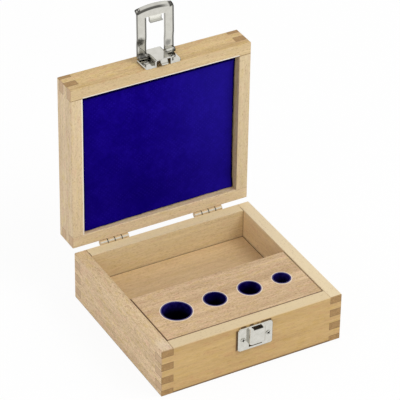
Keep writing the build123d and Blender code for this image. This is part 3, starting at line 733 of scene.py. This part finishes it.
def make_piece(name, grids, material, body, bridge=None):
    """One closed object from grids of points and a bridge of faces: each grid is (points of shape rows,
    columns, 3; whether it wraps; whether it flips). Its seams and poles are merged, and its faces are
    turned outwards."""
    points, faces, first = [], [], 0
    for grid, wrap, flip in grids:
        rows, columns = grid.shape[:2]
        cells = grid_faces(rows, columns, first, wrap)
        faces.append(cells[:, ::-1] if flip else cells)
        points.append(grid.reshape(-1, 3))
        first += rows * columns
    if bridge is not None:
        faces.append(bridge)
    mesh = bpy.data.meshes.new(name)
    mesh.from_pydata(np.concatenate(points).tolist(), [], np.concatenate(faces).tolist())
    mesh.validate()
    made = bmesh.new()
    made.from_mesh(mesh)
    bmesh.ops.remove_doubles(made, verts=made.verts, dist=MERGE)
    bmesh.ops.dissolve_degenerate(made, edges=made.edges, dist=MERGE * 0.1)
    bmesh.ops.recalc_face_normals(made, faces=made.faces)
    made.to_mesh(mesh)
    made.free()
    mesh.polygons.foreach_set("use_smooth", np.ones(len(mesh.polygons), bool))
    mesh.materials.append(material)
    piece = bpy.data.objects.new(name, mesh)
    bpy.context.scene.collection.objects.link(piece)
    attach(piece, body)
    return piece


# Velvet pad of the lid
low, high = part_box("lid_velvet_pad")
PAD_BACK_Y = high.y
PAD_EDGE_Y = HINGE_Y + 5.3 * MM
PAD_CROWN = 1.2 * MM
PAD_ROLL = 0.8 * MM
PAD_DRAWN_IN = 0.45 * MM
PAD_PITCH = 1.5 * MM
PAD_COUNTS = (150, 140)
RIPPLE, SWAY, FOLD = 0.14 * MM, 0.12 * MM, 0.30 * MM
SHADE_DROP, SHADE_SHIFT = 0.770, 0.564
TUCK_START, TUCK_END = 2.0 * MM, 0.8 * MM
# Painted light to the upper right and painted shade to the lower left
PAD_LIT, LIT_SHARE = linear(42, 32, 150), 0.45
PAD_UNLIT, UNLIT_SHARE = linear(8, 0, 88), 0.38
PAD_WORN, WORN_SHARE = linear(48, 34, 165), 0.20
# Painted shade under the top and left boards and along the tucked edge
PAD_PAINTED_SHADE, PAINTED_SHADE_SHARE = linear(3, 0, 34), 0.85
CORNER_SWELL, CORNER_WIDE, CORNER_HIGH = 0.4 * MM, 8.0 * MM, 16.0 * MM
FOOT_SWELL, FOOT_HIGH = 2.6 * MM, 7.0 * MM
pad_half_x = (high.x - low.x) / 2
pad_half_z = (high.z - low.z) / 2
pad_middle = Vector(((high.x + low.x) / 2, 0, (high.z + low.z) / 2))


def pad_points(count_x, count_z):
    """The pad's face over (u, v), both -1 to 1 and closer together near the edges.
    Its outline is drawn in between the corners. It stands out by a crown, is rolled over at the edges by a
    quarter circle, ripples where the cloth is tucked in, and has folds that fan out of the upper corners.
    The stuffing swells as exp(-distance^2) at the upper right corner and along the foot."""
    across, upwards = (np.sin(np.linspace(-1, 1, count) * math.pi / 2) for count in (count_x, count_z))
    u, v = np.meshgrid(across, upwards, indexing="ij")
    x = u * (pad_half_x - PAD_DRAWN_IN * (1 - v**2) * np.abs(u))
    z = v * (pad_half_z - PAD_DRAWN_IN * (1 - u**2) * np.abs(v))
    edge_x = pad_half_x * (1 - np.abs(u))
    edge_z = pad_half_z * (1 - np.abs(v))
    fall_x = PAD_ROLL * (1 - np.sqrt(1 - np.clip(1 - edge_x / PAD_ROLL, 0, 1) ** 2))
    fall_z = PAD_ROLL * (1 - np.sqrt(1 - np.clip(1 - edge_z / PAD_ROLL, 0, 1) ** 2))
    crown = PAD_CROWN * (1 - np.abs(u) ** 3) * (1 - np.abs(v) ** 3)
    near_edge = np.exp(-np.minimum(edge_x, edge_z) / (6 * MM))
    along = np.where(edge_x < edge_z, z, x)
    ripple = RIPPLE * near_edge * np.sin(along / (2.3 * MM) + 1.7 * np.sin(along / (9 * MM)))
    sway = SWAY * np.sin(x / (17 * MM) + 0.6) * np.sin(z / (23 * MM) - 0.4)
    folds = 0.0
    for side in (-1, 1):
        from_x, from_z = pad_half_x - side * x, pad_half_z - z
        reach = np.hypot(from_x, from_z)
        fan = np.sin(9 * np.arctan2(from_z, from_x) + 0.5 * side)
        folds += FOLD * fan * np.exp(-reach / (20 * MM)) * (1 - np.exp(-reach / (5 * MM)))
    depth = np.maximum(fall_x, fall_z) + 0.35 * np.minimum(fall_x, fall_z)
    far = ((pad_half_x - x) / CORNER_WIDE) ** 2 + ((pad_half_z - z) / CORNER_HIGH) ** 2
    corner = CORNER_SWELL * np.exp(-far)
    foot = FOOT_SWELL * (0.75 - 0.35 * u) * np.exp(-((z + pad_half_z) / FOOT_HIGH) ** 2)
    face = PAD_EDGE_Y - crown + depth + ripple + sway * (1 - near_edge) + folds - corner - foot
    return np.stack((x + pad_middle.x, face, z + pad_middle.z), -1)


def pad_shade(cloth, colour):
    """Painted light makes the pad lighter towards its upper right, and painted shade darker towards its
    lower left.
    Where the nap is worn it has a weave of dots, where sin(pi x / p) sin(pi z / p) is above about a half.
    Painted shade makes it near black along its tucked right edge and where the top and left boards shade it:
    with r how far it lies behind the rim, below the top board by SHADE_DROP r and right of the left board by
    SHADE_SHIFT r."""
    x, z = cloth.axis("Object", X_AXIS), cloth.axis("Object", Z_AXIS)
    right_edge = pad_middle.x + pad_half_x
    right = cloth.step(x, pad_middle.x - pad_half_x * 0.3, right_edge)
    upper = cloth.step(z, pad_middle.z - pad_half_z, pad_middle.z + pad_half_z)
    lit = cloth.times(right, cloth.maths("MULTIPLY_ADD", upper, 0.5, 0.5))
    colour = cloth.mix(cloth.times(lit, LIT_SHARE), colour, PAD_LIT)
    unlit = cloth.times(cloth.maths("SUBTRACT", 1.0, right), cloth.maths("SUBTRACT", 1.0, upper))
    colour = cloth.mix(cloth.times(unlit, UNLIT_SHARE), colour, PAD_UNLIT)
    waves = [cloth.maths("SINE", cloth.times(value, math.pi / PAD_PITCH)) for value in (x, z)]
    dots = cloth.step(cloth.times(*waves), 0.35, 0.85)
    worn = cloth.step(cloth.noise(cloth.place((0.12, 0.12, 0.12))), 0.40, 0.62)
    colour = cloth.mix(cloth.times(dots, worn, WORN_SHARE), colour, PAD_WORN)
    recess = cloth.maths("SUBTRACT", cloth.axis("Object", Y_AXIS), HINGE_Y)
    clear_top = cloth.maths("SUBTRACT", LID_MIDDLE + HALF_DEPTH - BOARD, z)
    clear_top = cloth.maths("MULTIPLY_ADD", recess, -SHADE_DROP, clear_top)
    clear_left = cloth.maths("SUBTRACT", x, BOARD - HALF_WIDTH)
    clear_left = cloth.maths("MULTIPLY_ADD", recess, -SHADE_SHIFT, clear_left)
    under_top = cloth.step(clear_top, 1.5 * MM, 0.5 * MM)
    under_left = cloth.times(cloth.step(clear_left, 1.1 * MM, 0.2 * MM), 0.7)
    # Painted shade along the tucked right edge
    tucked = cloth.step(x, right_edge - TUCK_START, right_edge - TUCK_END)
    painted_shade = cloth.times(cloth.largest(under_top, under_left, tucked), PAINTED_SHADE_SHARE)
    return cloth.mix(painted_shade, colour, PAD_PAINTED_SHADE)


pad_tones = (linear(14, 1, 108), linear(20, 3, 124), linear(30, 12, 146))
pad_velvet = velvet("pad_velvet", 2.4, pad_tones, pad_shade)
pad_face = pad_points(*PAD_COUNTS)
pad_back = pad_face.copy()
pad_back[..., 1] = PAD_BACK_Y
pad_grids = [(pad_face, False, False), (pad_back, False, True)]
pad_sides = border_strip(*pad_face.shape[:2])
velvet_pad = make_piece("velvet_pad", pad_grids, pad_velvet, "lid", pad_sides)
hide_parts("lid_velvet_pad")

# Velvet cups in the pockets. The lip's points are beyond the pocket's radius and above its mouth, in mm.
POCKET_MOUTH = 34.5 * MM
CUP_WALL = 0.6 * MM
CUP_FLOOR_ROUND = 1.2 * MM
CUP_ROWS, CUP_STEPS = 14, 96
# Painted shade deep in the cups
CUP_SHADE, SHADE_DEPTH = linear(2, 1, 10), 8.5 * MM
CUT_EDGE, CUT_EDGE_SHARE = linear(150, 142, 190), 0.22
CUP_LIP = (
    (0.62, -0.3), (0.62, 0.0), (0.78, 0.04), (0.82, 0.10),
    (0.66, 0.18), (0.38, 0.20), (0.12, 0.12), (0, -0.1),
)


def lining_shade(cloth, colour):
    """Painted shade makes the cup near black a short way down; it is pale where its cut edge stands out of
    the mouth.
    """
    z = cloth.axis("Object", Z_AXIS)
    colour = cloth.mix(cloth.step(z, POCKET_MOUTH - SHADE_DEPTH, POCKET_MOUTH), CUP_SHADE, colour)
    cut_edge = cloth.step(z, POCKET_MOUTH - 0.1 * MM, POCKET_MOUTH + 0.15 * MM)
    return cloth.mix(cloth.times(cut_edge, CUT_EDGE_SHARE), colour, CUT_EDGE)


def cup_points(mount):
    """A velvet cup: under its floor, up the outside, over the lip that stands on the block, down the wall,
    round the floor's corner by a quarter circle and in to the middle. The wall is a little uneven, by
    two sines of the angle and the height."""
    radius = mount["dims"]["r_mm"] * MM
    depth = mount["dims"]["length_mm"] * MM
    top = mount["pos_m"][2] + depth / 2
    lip = np.array(CUP_LIP) * MM
    bend = np.linspace(0, math.pi / 2, 6)[1:]
    out_radius = [0.0, radius + CUP_WALL, *(radius + lip[:, 0])]
    out_height = [-depth - CUP_WALL, -depth - CUP_WALL, *lip[:, 1]]
    in_radius = [*([radius] * CUP_ROWS), *(radius - CUP_FLOOR_ROUND * (1 - np.cos(bend)))]
    in_radius += [radius * 0.5, 0.0]
    in_height = [*np.linspace(-0.5 * MM, CUP_FLOOR_ROUND - depth, CUP_ROWS)]
    in_height += [*(CUP_FLOOR_ROUND - depth - CUP_FLOOR_ROUND * np.sin(bend)), -depth, -depth]
    angle = np.linspace(0, 2 * math.pi, CUP_STEPS, endpoint=False)[None, :]
    height = np.array([*out_height, *in_height])[:, None]
    inner = (np.arange(len(height)) >= len(out_height))[:, None]
    sines = 0.06 * MM * np.sin(5 * angle + height / (3 * MM))
    sines = sines + 0.04 * MM * np.sin(11 * angle - height / (2 * MM))
    across = np.array([*out_radius, *in_radius])[:, None]
    across = across + inner * sines * across / radius
    x = mount["pos_m"][0] + across * np.cos(angle)
    y = mount["pos_m"][1] + across * np.sin(angle)
    z = top + np.broadcast_to(height, x.shape)
    return np.stack((x, y, z), -1)


lining_tones = (linear(4, 0, 34), linear(12, 4, 76), linear(48, 40, 128))
lining_velvet = velvet("lining_velvet", 2.2, lining_tones, lining_shade)
for mount in pockets:
    size = mount["name"].removeprefix("pocket_")
    cup_grids = [(cup_points(mount), True, False)]
    cup = make_piece(f"velvet_cup_{size}", cup_grids, lining_velvet, "base")
    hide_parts(mount["name"].replace("pocket_", "pocket_lining_"))

# Screws
HEAD_RADIUS, HEAD_HEIGHT, HEAD_EDGE = 1.7 * MM, 0.6 * MM, 0.28 * MM
SHANK_RADIUS, SHANK_LENGTH, SHANK_TIP = 0.9 * MM, 6.5 * MM, 1.4 * MM
CROSS_LENGTH, CROSS_WIDTH, CROSS_DEEP = 2.6 * MM, 0.72 * MM, 0.45 * MM
END_SLOPE, SIDE_SLOPE = 0.16 * MM, 0.07 * MM
LEAF_SCREW_SPREAD, WIDE_SET = 12 * MM, 50 * MM
HEAD_RINGS, HEAD_STEPS = 34, 72


def dome_height(radius):
    """A screw head's height: an elliptic dome on a straight edge."""
    share = np.clip(1 - np.clip(radius / HEAD_RADIUS, 0, 1) ** 2.4, 0, 1)
    return HEAD_EDGE + (HEAD_HEIGHT - HEAD_EDGE) * np.sqrt(share)


def soft_bar(along, across):
    """1 inside one bar of the cross recess, falling to 0 over a short slope."""
    end = np.clip((CROSS_LENGTH / 2 - np.abs(along)) / END_SLOPE, 0, 1)
    half_width = CROSS_WIDTH / 2 * (1.15 - np.abs(along) / CROSS_LENGTH)
    return end * np.clip((half_width - np.abs(across)) / SIDE_SLOPE, 0, 1)


def screw_points(spot, out, turn):
    """A pan head over (radius, angle): an elliptic dome with a cross pressed in, its rim, seat and shank."""
    radius = np.linspace(0, 1, HEAD_RINGS)[:, None] * HEAD_RADIUS
    angle = np.linspace(0, 2 * math.pi, HEAD_STEPS, endpoint=False)[None, :]
    x, y = radius * np.cos(angle), radius * np.sin(angle)
    c, s = math.cos(turn), math.sin(turn)
    first, second = c * x + s * y, c * y - s * x
    cross = np.maximum(soft_bar(first, second), soft_bar(second, first))
    pressed = cross * np.clip(1 - 0.45 * radius / (CROSS_LENGTH / 2), 0.4, 1)
    head = np.stack((x, y, dome_height(radius) - CROSS_DEEP * pressed), -1)
    below = (
        (HEAD_RADIUS, 0.08 * MM), (0.97 * HEAD_RADIUS, 0.0), (SHANK_RADIUS, 0.0),
        (SHANK_RADIUS, SHANK_TIP - SHANK_LENGTH), (0.0, -SHANK_LENGTH),
    )
    shank = [np.stack(np.broadcast_arrays(r * np.cos(angle), r * np.sin(angle), h), -1) for r, h in below]
    local = np.concatenate((head, *shank))
    out = np.array(out, float)
    side = np.cross(out, (0.0, 0.0, 1.0) if abs(out[2]) < 0.5 else (0.0, 1.0, 0.0))
    up = np.cross(out, side)
    return np.array(spot) + local[..., :1] * side + local[..., 1:2] * up + local[..., 2:] * out


def screw_spots(node, axis, seat):
    """Where a set's screws sit on their plate, from the set's own box: two or four in a row along X."""
    low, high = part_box(node)
    ends = [low.x + HEAD_RADIUS, high.x - HEAD_RADIUS]
    if high.x - low.x > WIDE_SET:
        ends = [ends[0], ends[0] + LEAF_SCREW_SPREAD, ends[1] - LEAF_SCREW_SPREAD, ends[1]]
    spots = [[x, (low.y + high.y) / 2, (low.z + high.z) / 2] for x in ends]
    for spot in spots:
        spot[axis] = seat
    return spots


def mark_recess(screws, spots, seat, axis, way):
    """Store how deep each point lies below its screw's dome: 1 at half the cross's depth or more."""
    places = np.empty(len(screws.data.vertices) * 3)
    screws.data.vertices.foreach_get("co", places)
    places = places.reshape(-1, 3)
    height = (places[:, axis] - seat) * way
    flat = [other for other in (X_AXIS, Y_AXIS, Z_AXIS) if other != axis]
    radius = np.linalg.norm(places[:, None, flat] - np.array(spots)[None][..., flat], axis=-1).min(axis=1)
    deep = np.clip((dome_height(radius) - height) / (0.5 * CROSS_DEEP), 0, 1)
    on_head = (radius < 0.95 * HEAD_RADIUS) * (height > 0.02 * MM)
    mark = screws.data.attributes.new("recess", "FLOAT", "POINT")
    mark.data.foreach_set("value", deep * on_head)


screw_sets = {
    "catch_screws": ((0, -1, 0), "base"),
    "hinge_base_screws": ((0, 1, 0), "base"),
    "hinge_lid_screws": ((0, 0, -1), "lid"),
    "lid_plate_screws": ((0, 0, 1), "lid"),
}
rng = np.random.default_rng(11)
for name, (out, body) in screw_sets.items():
    low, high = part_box(name)
    axis = int(np.argmax(np.abs(out)))
    seat = (high if out[axis] > 0 else low)[axis] - out[axis] * HEAD_HEIGHT
    spots = screw_spots(name, axis, seat)
    grids = [(screw_points(spot, out, rng.uniform(0, math.pi / 2)), True, False) for spot in spots]
    screws = make_piece(name.replace("screws", "cross_screws"), grids, screw_nickel, body)
    mark_recess(screws, spots, seat, axis, out[axis])
    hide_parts(name)

# Camera
azimuth, elevation, roll = (math.radians(a) for a in (CAMERA_AZIMUTH, CAMERA_ELEVATION, CAMERA_ROLL))
level = math.cos(elevation)
towards = Vector((math.sin(azimuth) * level, -math.cos(azimuth) * level, math.sin(elevation)))
level_x = Vector((0, 0, 1)).cross(towards).normalized()
level_y = towards.cross(level_x)
camera_x = math.cos(roll) * level_x + math.sin(roll) * level_y
camera_y = math.cos(roll) * level_y - math.sin(roll) * level_x
place = Matrix((camera_x, camera_y, towards)).transposed().to_4x4()
place.translation = CAMERA_TARGET + towards * CAMERA_DISTANCE
camera_data = bpy.data.cameras.new("camera")
camera_data.sensor_width = SENSOR_WIDTH
camera_data.lens = FOCAL_PIXELS / IMAGE_PIXELS * SENSOR_WIDTH
camera_data.clip_start, camera_data.clip_end = CLIP_NEAR, CLIP_FAR
camera = bpy.data.objects.new("camera", camera_data)
camera.matrix_world = place
bpy.context.scene.collection.objects.link(camera)
bpy.context.scene.camera = camera

# Studio floor: white to the camera and to reflections, but it keeps a soft shadow. From below it is clear.
white_floor = Finish("floor_white")
white_floor.dress({"Base Color": FLOOR_GREY, "Roughness": 0.9, "Specular IOR Level": 0.0})
seen = white_floor.add("ShaderNodeLightPath").outputs
shown = white_floor.largest(seen["Is Camera Ray"], seen["Is Glossy Ray"], seen["Is Transmission Ray"])
white = white_floor.add("ShaderNodeEmission", {"Color": WHITE, "Strength": 1.0})
above = white_floor.add("ShaderNodeMixShader", {
    0: white_floor.times(shown, FLOOR_WHITE_SHARE), 1: white_floor.surface.outputs[0], 2: white.outputs[0],
})
one_sided = white_floor.add("ShaderNodeMixShader", {
    0: white_floor.add("ShaderNodeNewGeometry").outputs["Backfacing"],
    1: above.outputs[0],
    2: white_floor.add("ShaderNodeBsdfTransparent").outputs[0],
})
white_floor.feed(white_floor.output.inputs["Surface"], one_sided.outputs[0])
floor_mesh = bpy.data.meshes.new("floor")
floor_corners = np.array([(-1, -1, 0), (1, -1, 0), (1, 1, 0), (-1, 1, 0)]) * FLOOR_HALF
floor_mesh.from_pydata(floor_corners.tolist(), [], [(0, 1, 2, 3)])
floor_mesh.materials.append(white_floor.material)
floor = bpy.data.objects.new("floor", floor_mesh)
floor.location.z = -0.1 * MM
bpy.context.scene.collection.objects.link(floor)

# A dark flag that only the metal shows: the floor further off, and a band low down round the studio
flag_finish = Finish("dark_flag")
flag_finish.dress({"Base Color": FLAG_BLACK, "Specular IOR Level": 0.0})


def flag(name, rings):
    """A surface turned round the Z axis through rings of (radius, height), seen by glossy rays alone."""
    turn = np.linspace(0, 2 * math.pi, FLAG_STEPS, endpoint=False)
    radius, height = np.array(rings).T[..., None]
    points = np.stack(np.broadcast_arrays(radius * np.cos(turn), radius * np.sin(turn), height), -1)
    mesh = bpy.data.meshes.new(name)
    faces = grid_faces(len(rings), FLAG_STEPS, wrap=True)
    mesh.from_pydata(points.reshape(-1, 3).tolist(), [], faces.tolist())
    mesh.materials.append(flag_finish.material)
    made = bpy.data.objects.new(name, mesh)
    bpy.context.scene.collection.objects.link(made)
    for way in ("camera", "diffuse", "transmission", "volume_scatter", "shadow"):
        setattr(made, f"visible_{way}", False)
    return made


flag("low_flag", LOW_FLAG)

# A white world to the camera and to reflections, and a soft light to all else
world = bpy.data.worlds.new("studio")
bpy.context.scene.world = world
world.use_nodes = True
sky = world.node_tree
backdrop = sky.nodes["Background"]
backdrop.inputs["Color"].default_value = WHITE
rays = sky.nodes.new("ShaderNodeLightPath")
seen_share = rays.outputs["Is Camera Ray"]
for kind in ("Is Glossy Ray", "Is Transmission Ray"):
    either = sky.nodes.new("ShaderNodeMath")
    either.operation = "MAXIMUM"
    sky.links.new(seen_share, either.inputs[0])
    sky.links.new(rays.outputs[kind], either.inputs[1])
    seen_share = either.outputs[0]
brightness = sky.nodes.new("ShaderNodeMapRange")
brightness.inputs["To Min"].default_value = SKY_LIGHT
brightness.inputs["To Max"].default_value = 1.0
sky.links.new(seen_share, brightness.inputs["Value"])
sky.links.new(brightness.outputs[0], backdrop.inputs["Strength"])

# Square soft lamps that face the case, by place, side and power
for name, (spot, size, power) in LAMPS.items():
    lamp_data = bpy.data.lights.new(name, "AREA")
    lamp_data.shape = "SQUARE"
    lamp_data.size = size
    lamp_data.energy = power
    lamp = bpy.data.objects.new(name, lamp_data)
    lamp.location = spot
    lamp.visible_glossy = False
    lamp.rotation_euler = (LIT_POINT - Vector(spot)).to_track_quat("-Z", "Y").to_euler()
    bpy.context.scene.collection.objects.link(lamp)

bpy.context.scene.view_settings.view_transform = "Standard"
